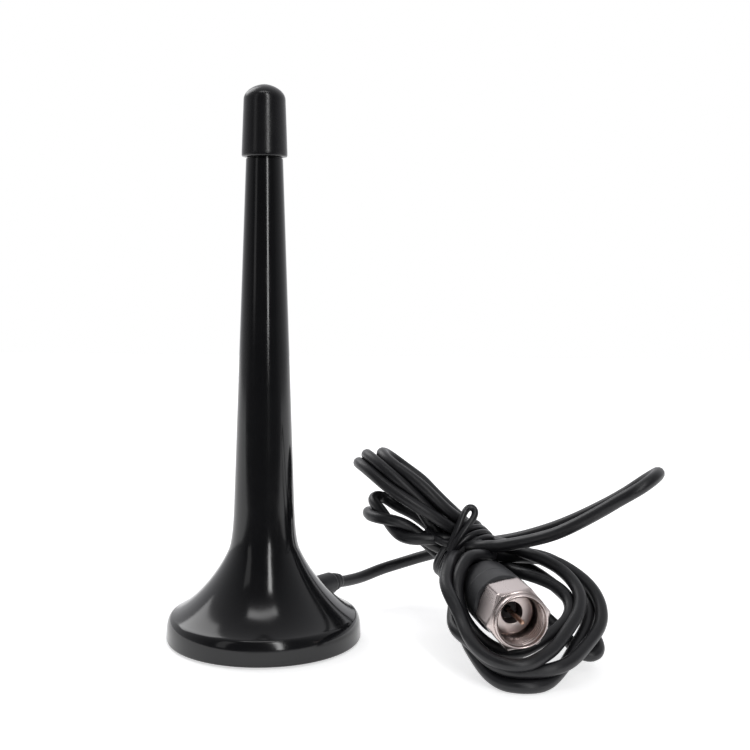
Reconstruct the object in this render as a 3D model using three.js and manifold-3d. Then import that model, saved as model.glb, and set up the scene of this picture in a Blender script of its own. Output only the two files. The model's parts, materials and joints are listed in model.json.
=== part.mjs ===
// Mini magnetic-base television antenna with a tied coaxial lead and a screw-on plug.
// Millimetres, +Z up. The origin is the centre of the foot pad's underside, on the mast's axis.
import * as THREE from "three";
import { mergeVertices } from "three/addons/utils/BufferGeometryUtils.js";
import Module from "manifold-3d";

const wasm = await Module();
wasm.setup();

// ---------------------------------------------------------------- driving dimensions

const GAP = 0.3; // left between pieces that touch or fit together

// Mast and base shell, one moulding
const TOTAL_HEIGHT = 115.4;
const BASE_RADIUS = 20.5;
const RIM_BOTTOM = 0.4;
const FLARE_BOTTOM = 5.3;
const FLARE_TOP = 22.3;
const FLARE_POWER = 1.4;
const MAST_FOOT_RADIUS = 6.54;
const MAST_TOP_RADIUS = 3.78;
const SHELL_WALL = 1.4;
const RIM_WALL = 1.6;
const RIM_DRAFT = 0.1;

// Cap
const CAP_LENGTH = 14.6;
const CAP_LIP_RADIUS = 4.66;
const CAP_CROWN_RADIUS = 4.26;
const CAP_CROWN_HEIGHT = 3.1;
const CAP_CROWN_POWER = 1.2;
const CAP_LIP_ROUND = 0.3;
const CAP_LIP_HEIGHT = 1;
const SPIGOT_RADIUS = 3.35;
const SPIGOT_LENGTH = 10.2;

// Radiator and loading coil
const ROD_RADIUS = 1;
const COIL_WIRE_RADIUS = 0.35;
const COIL_PITCH = 1.7;
const COIL_TURNS = 9;
const COIL_BOTTOM = 31;
const COIL_END_SPACE = 0.7;
const FORMER_WALL = 1;
const FORMER_FLANGE = 1;
const BUSH_HEIGHT = 4;
const BUSH_BELOW_STEP = 6;

// Foot, magnet and ground plate
const PAD_THICKNESS = 1;
const PAD_MARGIN = 0.5;
const PLATE_THICKNESS = 1.6;
const MAGNET_INSET = 4.6;
const MAGNET_WIDTH = 4.8;
const MAGNET_THICKNESS = 2;
const CENTRING_RIB_HEIGHT = 1.2;
const CENTRING_RIB_WALL = 0.8;
const DISC_INSET = 9.5;
const DISC_THICKNESS = 0.5;
const SCREW_COUNT = 3;
const SCREW_FIRST_AZIMUTH = 110;
const SCREW_SHANK_RADIUS = 0.6;
const SCREW_HEAD_RADIUS = 1.3;
const SCREW_HEAD_HEIGHT = 0.6;
const SCREW_LENGTH = 3.7;
const PILOT_DEPTH = 2.6;
const BOSS_RADIUS = 1.7;
const BOSS_TOP = FLARE_BOTTOM + 0.6;
const LUG_AZIMUTH = 105;
const LUG_INSET = 4;
const LUG_RADIUS = 2;
const LUG_THICKNESS = 0.4;
const LUG_POST_RADIUS = 1.9;

// Insulator and rod socket
const INSULATOR_RADIUS = 3.4;
const INSULATOR_FLANGE_RADIUS = 4.2;
const INSULATOR_HEIGHT = 5.3;
const INSULATOR_SPIGOT_RADIUS = 1.7;
const INSULATOR_SPIGOT_DEPTH = 1.5;
const INSULATOR_FLOOR = 1.7;
const SOCKET_STEM_RADIUS = 1.3;
const SOCKET_RADIUS = 2.2;
const SOCKET_FLANGE_RADIUS = 3;
const SOCKET_HEIGHT = 7.5;
const SOCKET_FLOOR = 2;
const FLANGE_THICKNESS = 0.8;
const TAG_THICKNESS = 0.3;
const TAG_REACH = 5.4;
const TAG_RADIUS = 3.1;
const TAG_HALF_WIDTH = 0.8;

// Cord and the gland it leaves by
const CORD_RADIUS = 1.3;
const CORD_SIDES = 8;
const CORD_STEP = 6;
const DIELECTRIC_RADIUS = 0.75;
const CORE_RADIUS = 0.3;
const GLAND_RADIUS = 2.4;
const GLAND_AZIMUTH = 50;
const GLAND_HEIGHT = 7.6;
const GLAND_STAND_OUT = 0.3;
const GLAND_LENGTH = 7;
const JACKET_INSET = 11.5;
const DIELECTRIC_LENGTH = 1.8;
const STOP_WALL = 0.5;
const STOP_LENGTH = 1.6;
const PIGTAIL_RADIUS = 0.4;

// Plug: z runs along its axis, 0 at the nut's front, minus towards the cord
const PLUG_FRONT = new THREE.Vector3(50.7, -31.5, 13.7);
const PLUG_AZIMUTH = -80;
const PLUG_TILT = 1.4;
const NUT_ACROSS_FLATS = 11;
const NUT_LENGTH = 10.8;
const NUT_COLLAR_RADIUS = 5.15;
const NUT_COLLAR_LENGTH = 1.3;
const THREAD_RADIUS = 4.75;
const THREAD_DEPTH = 0.32;
const THREAD_PITCH = 0.8;
const THREAD_RINGS = 5;
const POST_FACE = -6.6;
const POST_FLANGE_LENGTH = 1.4;
const POST_SHANK_RADIUS = 3.1;
const POST_BORE_RADIUS = 2.1;
const POST_LENGTH = 13.4;
const PIN_RADIUS = 0.45;
const PIN_STAND_OUT = 0.7;
const WASHER_THICKNESS = 0.3;
const NUT_FLOAT = 0.8;
const FERRULE_WALL = 0.5;
const FERRULE_LENGTH = 7;
const BOOT_RADIUS = 6;
const BOOT_REAR_RADIUS = 1.95;
const BOOT_BARREL_LENGTH = 15;
const BOOT_LENGTH = 28.8;
const BOOT_NECK_RADIUS = 4.2;
const BOOT_NECK_LENGTH = 1.2;
const RIB_COUNT = 4;
const RIB_PITCH = 2.6;
const RIB_WIDTH = 1.5;
const RIB_FIRST_RADIUS = 4.8;
const RIB_TAPER = 0.55;
const RIB_DEPTH = 0.8;

// Hank: the tied bundle, with round loops in front and a fan of narrow ones behind
const TIE_CENTRE = new THREE.Vector3(45.5, 9.5, 20);
const TIE_AXIS = new THREE.Vector3(0.6, -0.65, -0.47).normalize();
const NECK_RADIUS = 4.5;
const NECK_END = new THREE.Vector3(51, -0.4, 19.8);
const TIE_THICKNESS = 0.9;
const TIE_WIDTH = 2.4;

// Front loops: an oval band in a plane that rises backwards from the floor
const LOOP_TILT = 27.2;
const LOOP_FOOT = new THREE.Vector3(51.4, -31, 1.3);
const LOOP_CENTRE = [2.2, 17.8];
const LOOP_RADII = [14.2, 17.6];
const LOOP_BAND = [2.1, 1.5];
const LOOP_LAYER = [-1, 3.4];

// Rear loops: narrow ones that turn back at these points, each this wide from front to back
const REAR_TIPS = [
  [25.2, 18, 36.9],
  [21.8, 18, 36.0],
  [20.3, 18, 33.7],
  [22.6, 18, 26.7],
  [21.9, 18, 23.5],
];
const REAR_HALF_WIDTH = 6.5;

// Cord from the gland, behind the hank, round the side loop and back to the tie
const LEAD_ROUTE = [
  [16.8, 20.0, 7.0],
  [20.4, 23.6, 7.0],
  [24.9, 26.5, 8.1],
  [29.7, 27.6, 9.4],
  [33.9, 27.0, 10.9],
  [38.5, 25.0, 12.7],
  [47.3, 20.0, 15.9],
  [55.6, 14.0, 19.0],
  [63.6, 8.5, 23.1],
  [71.2, 3.5, 28.2],
  [75.9, 1.0, 32.2],
  [79.2, -2.0, 35.6],
  [80.6, -7.5, 37.6],
  [78.9, -13.0, 37.2],
  [75.6, -15.5, 35.4],
  [71.6, -15.2, 33.1],
  [68.0, -13.5, 30.8],
  [60.7, -10.0, 25.8],
  [54.8, -5.4, 22.9],
  [51.3, -1.0, 21.7],
];

// Cord from the lowest rear loop to the plug
const TAIL_ROUTE = [
  [34.0, 20.6, 16.8],
  [37.8, 18.4, 13.8],
  [41.6, 14.6, 12.3],
  [43.4, 11.2, 12.5],
];

// ---------------------------------------------------------------- helpers

const UP = new THREE.Vector3(0, 0, 1);
const rad = THREE.MathUtils.degToRad;

// A solid turned about Z from a closed outline of [radius, height] points.
function turned(outline, segments = 24) {
  const points = outline.map(([r, z]) => new THREE.Vector2(r, z));
  if (THREE.ShapeUtils.area(points) < 0) points.reverse();
  const closesOnAxis = points[0].x === 0 && points[points.length - 1].x === 0;
  if (!closesOnAxis) points.push(points[0].clone());
  const geometry = new THREE.LatheGeometry(points, segments);
  return geometry.rotateX(Math.PI / 2);
}

// A ring, or a disc when the inner radius is 0, between two heights.
function ring(inner, outer, bottom, top, segments = 24) {
  const outline = [
    [inner, bottom],
    [outer, bottom],
    [outer, top],
    [inner, top],
  ];
  return turned(outline, segments);
}

// A round section swept along a smooth curve through the points.
function tube(points, radius, sides, step) {
  const curve = new THREE.CatmullRomCurve3(points, false, "centripetal");
  const section = new THREE.Shape();
  for (let i = 0; i < sides; i++) {
    const angle = (i / sides) * 2 * Math.PI;
    const x = radius * Math.cos(angle);
    const y = radius * Math.sin(angle);
    if (i === 0) section.moveTo(x, y);
    else section.lineTo(x, y);
  }
  const steps = Math.max(2, Math.round(curve.getLength() / step));
  return new THREE.ExtrudeGeometry(section, { steps, extrudePath: curve, bevelEnabled: false });
}

function toSolid(geometry) {
  const bare = geometry.clone();
  bare.deleteAttribute("normal");
  bare.deleteAttribute("uv");
  const merged = mergeVertices(bare, 1e-4);
  const mesh = new wasm.Mesh({
    numProp: 3,
    vertProperties: merged.attributes.position.array,
    triVerts: new Uint32Array(merged.index.array),
  });
  return new wasm.Manifold(mesh);
}

function toGeometry(solid) {
  const mesh = solid.getMesh();
  const geometry = new THREE.BufferGeometry();
  geometry.setAttribute("position", new THREE.BufferAttribute(mesh.vertProperties.slice(), 3));
  geometry.setIndex(new THREE.BufferAttribute(mesh.triVerts.slice(), 1));
  const flat = geometry.toNonIndexed();
  flat.computeVertexNormals();
  return flat;
}

function joined(first, ...others) {
  return toGeometry(others.reduce((sum, other) => sum.add(toSolid(other)), toSolid(first)));
}

function cut(first, ...others) {
  return toGeometry(others.reduce((rest, other) => rest.subtract(toSolid(other)), toSolid(first)));
}

function shared(first, second) {
  return toGeometry(toSolid(first).intersect(toSolid(second)));
}

// The tightest skin round several solids.
function hull(...geometries) {
  return toGeometry(wasm.Manifold.hull(geometries.map(toSolid)));
}

function ball(radius) {
  return new THREE.SphereGeometry(radius, 14, 10);
}

// The point at a distance from the mast's axis, in a compass direction from +X.
function polar(radius, azimuth, height) {
  return new THREE.Vector3(
    radius * Math.cos(rad(azimuth)),
    radius * Math.sin(rad(azimuth)),
    height,
  );
}

function at(geometry, point) {
  return geometry.translate(point.x, point.y, point.z);
}

function finish(color, roughness, metalness = 0) {
  return () => new THREE.MeshStandardMaterial({ color, roughness, metalness });
}

const GLOSS_BLACK = finish(0x0b0c0e, 0.14);
const MATT_BLACK = finish(0x17181a, 0.62);
const CORD_BLACK = finish(0x1a1b1d, 0.45);
const NICKEL = finish(0xb9aca6, 0.3, 1);
const STEEL = finish(0x9a9c9f, 0.38, 1);
const BRASS = finish(0xb08d4c, 0.34, 1);
const COPPER = finish(0xb4693c, 0.36, 1);
const FERRITE = finish(0x2b2b2d, 0.7);
const NYLON = finish(0xd9d6cc, 0.55);

function piece(name, geometry, makeMaterial) {
  const mesh = new THREE.Mesh(geometry, makeMaterial());
  mesh.name = name;
  return mesh;
}

// ---------------------------------------------------------------- stack heights

const PLATE_BOTTOM = PAD_THICKNESS + GAP;
const PLATE_TOP = PLATE_BOTTOM + PLATE_THICKNESS;
const MAGNET_BOTTOM = PLATE_TOP + GAP;
const MAGNET_TOP = MAGNET_BOTTOM + MAGNET_THICKNESS;
const DISC_BOTTOM = MAGNET_TOP + GAP;
const DISC_TOP = DISC_BOTTOM + DISC_THICKNESS;
const LUG_BOTTOM = DISC_TOP + GAP;
const RIM_INNER_RADIUS = BASE_RADIUS - RIM_WALL;
const PLATE_RADIUS = RIM_INNER_RADIUS - GAP;
const MAGNET_RADIUS = RIM_INNER_RADIUS - MAGNET_INSET;
const MAGNET_BORE_RADIUS = MAGNET_RADIUS - MAGNET_WIDTH;
const DISC_RADIUS = BASE_RADIUS - DISC_INSET;
const LUG_PITCH_RADIUS = DISC_RADIUS - LUG_INSET;
const SCREW_PITCH_RADIUS = PLATE_RADIUS - BOSS_RADIUS - GAP;

const CAP_BOTTOM = TOTAL_HEIGHT - CAP_LENGTH;
const MAST_STEP = CAP_BOTTOM - GAP;
const SPIGOT_TOP = MAST_STEP + SPIGOT_LENGTH;
const MAST_TAPER = (MAST_FOOT_RADIUS - MAST_TOP_RADIUS) / (MAST_STEP - FLARE_TOP);

// Radius of the mast's hollow at a height on its straight taper.
function mastHollow(height) {
  return MAST_TOP_RADIUS + MAST_TAPER * (MAST_STEP - height) - SHELL_WALL;
}

// ---------------------------------------------------------------- mast and base

// A trumpet curve: a concave superellipse from a narrow top to a wide bottom.
function flare(narrow, wide, bottom, top, turns, stop) {
  const points = [];
  for (let i = 0; i <= turns; i++) {
    const angle = ((i / turns) * stop * Math.PI) / 2;
    const across = Math.cos(angle) ** (2 / FLARE_POWER);
    const down = Math.sin(angle) ** (2 / FLARE_POWER);
    points.push([narrow + (wide - narrow) * (1 - across), top - (top - bottom) * down]);
  }
  return points;
}

// The rounded shoulder from the flare's end down to the rim.
function shoulder(start) {
  const curve = new THREE.QuadraticBezierCurve(
    new THREE.Vector2(...start),
    new THREE.Vector2(BASE_RADIUS - 2 * RIM_DRAFT, FLARE_BOTTOM + 0.1),
    new THREE.Vector2(BASE_RADIUS - RIM_DRAFT, FLARE_BOTTOM - 2.7),
  );
  return curve.getPoints(5).slice(1).map((p) => [p.x, p.y]);
}

function mastShell() {
  const outerFlare = flare(MAST_FOOT_RADIUS, BASE_RADIUS, FLARE_BOTTOM, FLARE_TOP, 12, 0.87);
  const innerFlare = flare(
    MAST_FOOT_RADIUS - SHELL_WALL,
    RIM_INNER_RADIUS,
    FLARE_BOTTOM - SHELL_WALL,
    FLARE_TOP,
    8,
    1,
  );
  const outline = [
    [SPIGOT_RADIUS - 1, SPIGOT_TOP],
    [SPIGOT_RADIUS, SPIGOT_TOP],
    [SPIGOT_RADIUS, MAST_STEP],
    [MAST_TOP_RADIUS, MAST_STEP],
    ...outerFlare,
    ...shoulder(outerFlare[outerFlare.length - 1]),
    [BASE_RADIUS, RIM_BOTTOM + 0.3],
    [BASE_RADIUS - 0.3, RIM_BOTTOM],
    [RIM_INNER_RADIUS, RIM_BOTTOM],
    ...innerFlare.reverse(),
    [MAST_TOP_RADIUS - SHELL_WALL, MAST_STEP],
  ];
  const bosses = screwPlaces().map((place) =>
    at(ring(0, BOSS_RADIUS, 0, BOSS_TOP - PLATE_TOP - GAP, 16), place.setZ(PLATE_TOP + GAP)),
  );
  const pilots = screwPlaces().map((place) =>
    at(ring(0, SCREW_SHANK_RADIUS + GAP, 0, PILOT_DEPTH, 12), place.setZ(PLATE_TOP)),
  );
  const cordHole = alongExit(ring(0, GLAND_RADIUS + GAP, DISC_RADIUS - 1, BASE_RADIUS + 5, 24));
  const whole = joined(turned(outline, 40), ...bosses);
  return piece("mast_shell", cut(whole, ...pilots, cordHole), GLOSS_BLACK);
}

function topCap() {
  const crownStart = TOTAL_HEIGHT - CAP_CROWN_HEIGHT;
  const crown = [];
  for (let i = 0; i <= 7; i++) {
    const angle = ((i / 7) * Math.PI) / 2;
    const reach = Math.cos(angle) ** CAP_CROWN_POWER;
    crown.push([CAP_CROWN_RADIUS * reach, crownStart + CAP_CROWN_HEIGHT * Math.sin(angle)]);
  }
  crown[crown.length - 1][0] = 0;
  const bore = SPIGOT_RADIUS + GAP;
  const outline = [
    [0, SPIGOT_TOP + GAP],
    [bore, SPIGOT_TOP + GAP],
    [bore, CAP_BOTTOM],
    [CAP_LIP_RADIUS - CAP_LIP_ROUND, CAP_BOTTOM],
    [CAP_LIP_RADIUS, CAP_BOTTOM + CAP_LIP_ROUND],
    [CAP_LIP_RADIUS, CAP_BOTTOM + CAP_LIP_HEIGHT],
    ...crown,
  ];
  return piece("top_cap", turned(outline, 32), GLOSS_BLACK);
}

// ---------------------------------------------------------------- radiator

const INSULATOR_BOTTOM = DISC_TOP + GAP;
const INSULATOR_TOP = INSULATOR_BOTTOM + INSULATOR_HEIGHT;
const TAG_BOTTOM = INSULATOR_TOP + GAP;
const SOCKET_FLANGE_BOTTOM = TAG_BOTTOM + TAG_THICKNESS + GAP;
const SOCKET_TOP = SOCKET_FLANGE_BOTTOM + SOCKET_HEIGHT;
const ROD_BOTTOM = SOCKET_FLANGE_BOTTOM + SOCKET_FLOOR;
const ROD_TOP = SPIGOT_TOP - 2;
const FORMER_TOP = COIL_BOTTOM + COIL_PITCH * COIL_TURNS;

function baseInsulator() {
  const outline = [
    [0, INSULATOR_BOTTOM - GAP - INSULATOR_SPIGOT_DEPTH],
    [INSULATOR_SPIGOT_RADIUS, INSULATOR_BOTTOM - GAP - INSULATOR_SPIGOT_DEPTH],
    [INSULATOR_SPIGOT_RADIUS, INSULATOR_BOTTOM],
    [INSULATOR_FLANGE_RADIUS, INSULATOR_BOTTOM],
    [INSULATOR_FLANGE_RADIUS, INSULATOR_BOTTOM + FLANGE_THICKNESS],
    [INSULATOR_RADIUS, INSULATOR_BOTTOM + FLANGE_THICKNESS],
    [INSULATOR_RADIUS, INSULATOR_TOP],
    [SOCKET_STEM_RADIUS + GAP, INSULATOR_TOP],
    [SOCKET_STEM_RADIUS + GAP, INSULATOR_BOTTOM + INSULATOR_FLOOR],
    [0, INSULATOR_BOTTOM + INSULATOR_FLOOR],
  ];
  return piece("base_insulator", turned(outline), NYLON);
}

function rodSocket() {
  const bore = ROD_RADIUS + GAP;
  const stemBottom = INSULATOR_BOTTOM + INSULATOR_FLOOR + GAP;
  const flangeTop = SOCKET_FLANGE_BOTTOM + FLANGE_THICKNESS;
  const outline = [
    [0, stemBottom],
    [SOCKET_STEM_RADIUS, stemBottom],
    [SOCKET_STEM_RADIUS, SOCKET_FLANGE_BOTTOM],
    [SOCKET_FLANGE_RADIUS, SOCKET_FLANGE_BOTTOM],
    [SOCKET_FLANGE_RADIUS, flangeTop],
    [SOCKET_RADIUS, flangeTop],
    [SOCKET_RADIUS, SOCKET_TOP],
    [bore, SOCKET_TOP],
    [bore, ROD_BOTTOM - GAP],
    [0, ROD_BOTTOM - GAP],
  ];
  return piece("rod_socket", turned(outline), BRASS);
}

// A flat ring under the socket's flange, with a straight tongue towards the cord.
function feedTag() {
  const shape = new THREE.Shape();
  const root = Math.asin(TAG_HALF_WIDTH / TAG_RADIUS);
  shape.absarc(0, 0, TAG_RADIUS, root, 2 * Math.PI - root, false);
  shape.lineTo(TAG_REACH, -TAG_HALF_WIDTH);
  shape.lineTo(TAG_REACH, TAG_HALF_WIDTH);
  const hole = new THREE.Path();
  hole.absarc(0, 0, SOCKET_STEM_RADIUS + GAP, 0, 2 * Math.PI, true);
  shape.holes.push(hole);
  const plate = new THREE.ExtrudeGeometry(shape, {
    depth: TAG_THICKNESS,
    bevelEnabled: false,
    curveSegments: 16,
  });
  plate.rotateZ(rad(GLAND_AZIMUTH)).translate(0, 0, TAG_BOTTOM);
  return piece("feed_tag", plate, BRASS);
}

function radiatorRod() {
  const outline = [
    [0, ROD_BOTTOM],
    [ROD_RADIUS, ROD_BOTTOM],
    [ROD_RADIUS, ROD_TOP - 0.5],
    [ROD_RADIUS - 0.5, ROD_TOP],
    [0, ROD_TOP],
  ];
  return piece("radiator_rod", turned(outline, 16), STEEL);
}

function coilFormer() {
  const bore = ROD_RADIUS + GAP;
  const body = bore + FORMER_WALL;
  const edge = body + 2 * COIL_WIRE_RADIUS + COIL_END_SPACE;
  const outline = [
    [bore, COIL_BOTTOM - FORMER_FLANGE],
    [edge, COIL_BOTTOM - FORMER_FLANGE],
    [edge, COIL_BOTTOM],
    [body, COIL_BOTTOM],
    [body, FORMER_TOP + 1],
    [edge, FORMER_TOP + 1],
    [edge, FORMER_TOP + 1 + FORMER_FLANGE],
    [bore, FORMER_TOP + 1 + FORMER_FLANGE],
  ];
  return piece("coil_former", turned(outline, 20), NYLON);
}

function loadingCoil() {
  const radius = ROD_RADIUS + GAP + FORMER_WALL + GAP + COIL_WIRE_RADIUS;
  const perTurn = 12;
  const points = [];
  for (let i = 0; i <= COIL_TURNS * perTurn; i++) {
    const turn = i / perTurn;
    const angle = turn * 2 * Math.PI;
    const height = COIL_BOTTOM + COIL_END_SPACE + turn * (COIL_PITCH - 0.05);
    points.push(new THREE.Vector3(radius * Math.cos(angle), radius * Math.sin(angle), height));
  }
  const step = (2 * Math.PI * radius) / perTurn;
  return piece("loading_coil", tube(points, COIL_WIRE_RADIUS, 6, step), COPPER);
}

function rodBush() {
  const bottom = MAST_STEP - BUSH_BELOW_STEP - BUSH_HEIGHT / 2;
  const top = bottom + BUSH_HEIGHT;
  const outer = mastHollow(top) - GAP;
  return piece("rod_bush", ring(ROD_RADIUS + GAP, outer, bottom, top), NYLON);
}

// ---------------------------------------------------------------- foot, magnet, ground

function screwPlaces() {
  const places = [];
  for (let i = 0; i < SCREW_COUNT; i++) {
    places.push(polar(SCREW_PITCH_RADIUS, SCREW_FIRST_AZIMUTH + (360 / SCREW_COUNT) * i, 0));
  }
  return places;
}

function footPad() {
  const radius = RIM_INNER_RADIUS - PAD_MARGIN;
  const outline = [
    [0, 0],
    [radius - 0.2, 0],
    [radius, 0.2],
    [radius, PAD_THICKNESS],
    [0, PAD_THICKNESS],
  ];
  return piece("foot_pad", turned(outline, 48), MATT_BLACK);
}

function basePlate() {
  const rib = MAGNET_BORE_RADIUS - GAP;
  const ribTop = MAGNET_BOTTOM + CENTRING_RIB_HEIGHT;
  const outline = [
    [0, PLATE_BOTTOM],
    [PLATE_RADIUS, PLATE_BOTTOM],
    [PLATE_RADIUS, PLATE_TOP],
    [rib, PLATE_TOP],
    [rib, ribTop],
    [rib - CENTRING_RIB_WALL, ribTop],
    [rib - CENTRING_RIB_WALL, PLATE_TOP],
    [0, PLATE_TOP],
  ];
  const lugPlace = polar(LUG_PITCH_RADIUS, LUG_AZIMUTH, 0);
  const post = at(ring(0, LUG_POST_RADIUS, PLATE_TOP - 0.5, DISC_BOTTOM - GAP, 16), lugPlace);
  const postBore = at(ring(0, SCREW_SHANK_RADIUS + GAP, PLATE_BOTTOM + 0.6, DISC_TOP, 12), lugPlace);
  const holes = screwPlaces().flatMap((place) => [
    at(ring(0, SCREW_SHANK_RADIUS + GAP, 0, PLATE_TOP + 1, 12), place),
    at(ring(0, SCREW_HEAD_RADIUS + GAP, 0, PLATE_BOTTOM + SCREW_HEAD_HEIGHT + GAP, 12), place),
  ]);
  const whole = joined(turned(outline, 48), post);
  return piece("base_plate", cut(whole, postBore, ...holes), MATT_BLACK);
}

// A pan-head screw pointing up, or down when flipped, its head's outer face at height 0.
function screwGeometry(length) {
  const outline = [
    [0, 0],
    [SCREW_HEAD_RADIUS - 0.15, 0],
    [SCREW_HEAD_RADIUS, 0.15],
    [SCREW_HEAD_RADIUS, SCREW_HEAD_HEIGHT],
    [SCREW_SHANK_RADIUS, SCREW_HEAD_HEIGHT],
    [SCREW_SHANK_RADIUS, length - 0.4],
    [0, length],
  ];
  return turned(outline, 12);
}

function baseScrews() {
  return screwPlaces().map((place, i) =>
    piece("base_screw_" + (i + 1), at(screwGeometry(SCREW_LENGTH), place.setZ(PLATE_BOTTOM)), STEEL),
  );
}

function ringMagnet() {
  const magnet = ring(MAGNET_BORE_RADIUS, MAGNET_RADIUS, MAGNET_BOTTOM, MAGNET_TOP, 32);
  return piece("ring_magnet", magnet, FERRITE);
}

function groundDisc() {
  const disc = ring(INSULATOR_SPIGOT_RADIUS + GAP, DISC_RADIUS, DISC_BOTTOM, DISC_TOP, 32);
  const lugPlace = polar(LUG_PITCH_RADIUS, LUG_AZIMUTH, 0);
  const hole = at(ring(0, SCREW_SHANK_RADIUS + GAP, 0, DISC_TOP + 1, 12), lugPlace);
  return piece("ground_disc", cut(disc, hole), STEEL);
}

function groundLug() {
  const lugPlace = polar(LUG_PITCH_RADIUS, LUG_AZIMUTH, LUG_BOTTOM);
  const washer = ring(SCREW_SHANK_RADIUS + GAP, LUG_RADIUS, 0, LUG_THICKNESS, 16);
  return piece("ground_lug", at(washer, lugPlace), BRASS);
}

function lugScrew() {
  const headTop = LUG_BOTTOM + LUG_THICKNESS + GAP + SCREW_HEAD_HEIGHT;
  const length = headTop - PLATE_TOP + 0.6;
  const lugPlace = polar(LUG_PITCH_RADIUS, LUG_AZIMUTH, headTop);
  return piece("lug_screw", at(screwGeometry(length).rotateX(Math.PI), lugPlace), STEEL);
}

// ---------------------------------------------------------------- cord entry

// Places a geometry whose Z runs outwards along the gland's axis, 0 on the mast's axis.
function alongExit(geometry) {
  return geometry
    .rotateY(Math.PI / 2)
    .rotateZ(rad(GLAND_AZIMUTH))
    .translate(0, 0, GLAND_HEIGHT);
}

const GLAND_END = BASE_RADIUS + GLAND_STAND_OUT;
const JACKET_START = BASE_RADIUS - JACKET_INSET;
const DIELECTRIC_START = JACKET_START - GAP - DIELECTRIC_LENGTH;

function cableGland() {
  const start = GLAND_END - GLAND_LENGTH;
  const bore = CORD_RADIUS + GAP;
  const outline = [
    [bore, start],
    [GLAND_RADIUS, start],
    [GLAND_RADIUS, GLAND_END - 0.4],
    [GLAND_RADIUS - 0.4, GLAND_END],
    [bore, GLAND_END],
  ];
  return piece("cable_gland", alongExit(turned(outline, 24)), MATT_BLACK);
}

function pullStop() {
  const end = GLAND_END - GLAND_LENGTH - 2 * GAP;
  const bore = CORD_RADIUS + GAP;
  const band = ring(bore, bore + STOP_WALL, end - STOP_LENGTH, end, 16);
  return piece("pull_stop", alongExit(band), NYLON);
}

function coaxInside() {
  const jacket = ring(0, CORD_RADIUS, JACKET_START, GLAND_END - GAP, 12);
  const dielectric = ring(0, DIELECTRIC_RADIUS, DIELECTRIC_START, JACKET_START - GAP, 12);
  const coreStart = DIELECTRIC_START - GAP;
  const core = tube(
    [
      polar(coreStart, GLAND_AZIMUTH, GLAND_HEIGHT),
      polar(coreStart - 1, GLAND_AZIMUTH, GLAND_HEIGHT + 0.4),
      polar(TAG_REACH - 0.5, GLAND_AZIMUTH, GLAND_HEIGHT + 1.8),
      polar(TAG_REACH - 0.6, GLAND_AZIMUTH, TAG_BOTTOM - GAP),
    ],
    CORE_RADIUS,
    6,
    1,
  );
  return [
    piece("coax_jacket", alongExit(jacket), CORD_BLACK),
    piece("coax_dielectric", alongExit(dielectric), NYLON),
    piece("coax_core", core, COPPER),
  ];
}

// A point beside the cord's axis, at a distance from the mast's axis.
function besideCord(radius, aside, height) {
  const turn = THREE.MathUtils.radToDeg(Math.asin(aside / radius));
  return polar(radius, GLAND_AZIMUTH + turn, height);
}

function groundPigtail() {
  const height = LUG_BOTTOM + LUG_THICKNESS + 0.2;
  const route = [
    besideCord(JACKET_START - 0.6, CORD_RADIUS + PIGTAIL_RADIUS, GLAND_HEIGHT),
    besideCord(JACKET_START, CORD_RADIUS + PIGTAIL_RADIUS + 2, GLAND_HEIGHT - 0.1),
    polar(LUG_PITCH_RADIUS + 1.4, GLAND_AZIMUTH + 32, height + 0.5),
  ];
  return piece("ground_pigtail", tube(route, PIGTAIL_RADIUS, 6, 1.2), COPPER);
}

// ---------------------------------------------------------------- plug

const PLUG_DIRECTION = polar(Math.cos(rad(PLUG_TILT)), PLUG_AZIMUTH, Math.sin(rad(PLUG_TILT)));
const POST_FLANGE_RADIUS = THREAD_RADIUS - 2 * GAP;
const FLANGE_REAR = POST_FACE - POST_FLANGE_LENGTH;
const WASHER_FRONT = FLANGE_REAR - NUT_FLOAT - 0.15;
const LIP_FRONT = WASHER_FRONT - WASHER_THICKNESS - 0.25;
const NUT_REAR = -NUT_LENGTH;
const BOOT_FRONT = NUT_REAR - 0.4;
const BOOT_REAR = BOOT_FRONT - BOOT_LENGTH;
const POST_REAR = POST_FACE - POST_LENGTH;

function plugPoint(z) {
  return PLUG_FRONT.clone().addScaledVector(PLUG_DIRECTION, z);
}

function onPlug(geometry) {
  const turn = new THREE.Quaternion().setFromUnitVectors(UP, PLUG_DIRECTION);
  return at(geometry.applyQuaternion(turn), PLUG_FRONT);
}

function hexagon(acrossFlats, bottom, top) {
  const shape = new THREE.Shape();
  const corner = acrossFlats / Math.sqrt(3);
  for (let i = 0; i < 6; i++) {
    const angle = rad(60 * i + 20);
    const x = corner * Math.cos(angle);
    const y = corner * Math.sin(angle);
    if (i === 0) shape.moveTo(x, y);
    else shape.lineTo(x, y);
  }
  const bar = new THREE.ExtrudeGeometry(shape, { depth: top - bottom, bevelEnabled: false });
  return bar.translate(0, 0, bottom);
}

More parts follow.
